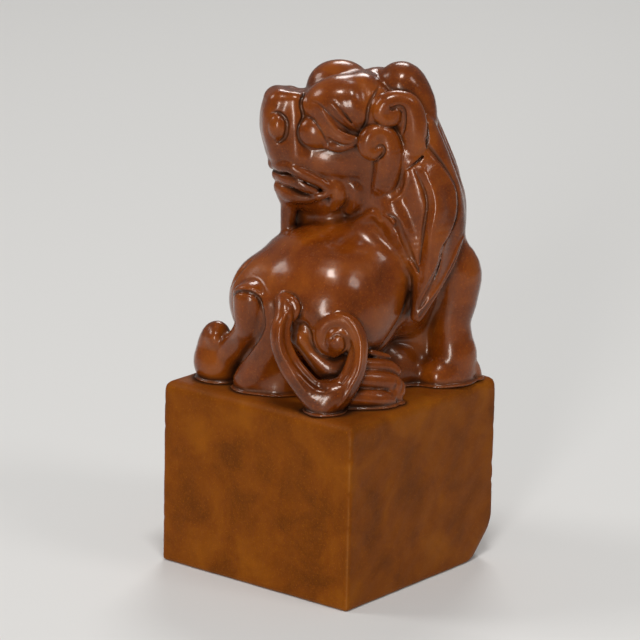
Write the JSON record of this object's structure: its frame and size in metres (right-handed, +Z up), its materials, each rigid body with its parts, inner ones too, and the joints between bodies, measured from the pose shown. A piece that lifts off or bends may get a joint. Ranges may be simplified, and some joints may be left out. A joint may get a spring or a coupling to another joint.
{
  "type": "seal stamp",
  "caption": "Square stone seal with a carved guardian lion handle that looks back over its shoulder, scroll tail at one corner, relief stamping face below.",
  "frame": {"origin": "centre of the stamping face, the underside of the block", "axes": "+Z up along the seal's height, +X the way that the lion's body walks, +Y to the lion's left"},
  "size_m": [0.033, 0.032, 0.069],
  "materials": {
    "lion_stone": "oily polish, red-brown",
    "eye_stone": "oily polish, red-brown",
    "block_stone": "satin, mottled golden brown"
  },
  "bodies": {
    "root": {"beard": "lion_stone", "belly_web": "lion_stone", "front_crest_knot": "lion_stone", "head": "lion_stone", "left_brow": "lion_stone", "left_cheek_tuft": "lion_stone", "left_crest_knot": "lion_stone", "left_ear": "lion_stone", "left_eye": "eye_stone", "left_foreleg": "lion_stone", "left_forepaw": "lion_stone", "left_hind_leg": "lion_stone", "left_hind_paw": "lion_stone", "left_side_curl": "lion_stone", "lower_jaw": "lion_stone", "lower_lip": "lion_stone", "mane_left_back_lock": "lion_stone", "mane_left_shoulder_lock": "lion_stone", "mane_left_side_lock": "lion_stone", "mane_middle_lock": "lion_stone", "mane_right_back_lock": "lion_stone", "mane_right_shoulder_lock": "lion_stone", "mane_right_side_lock": "lion_stone", "neck": "lion_stone", "nose": "lion_stone", "right_brow": "lion_stone", "right_cheek_tuft": "lion_stone", "right_crest_knot": "lion_stone", "right_ear": "lion_stone", "right_eye": "eye_stone", "right_foreleg": "lion_stone", "right_forepaw": "lion_stone", "right_hind_leg": "lion_stone", "right_hind_paw": "lion_stone", "right_side_curl": "lion_stone", "rump_base": "lion_stone", "seal_block": "block_stone", "tail": "lion_stone", "tail_root": "lion_stone", "tongue": "lion_stone", "torso": "lion_stone", "upper_lip": "lion_stone"}
  },
  "joints": []
}
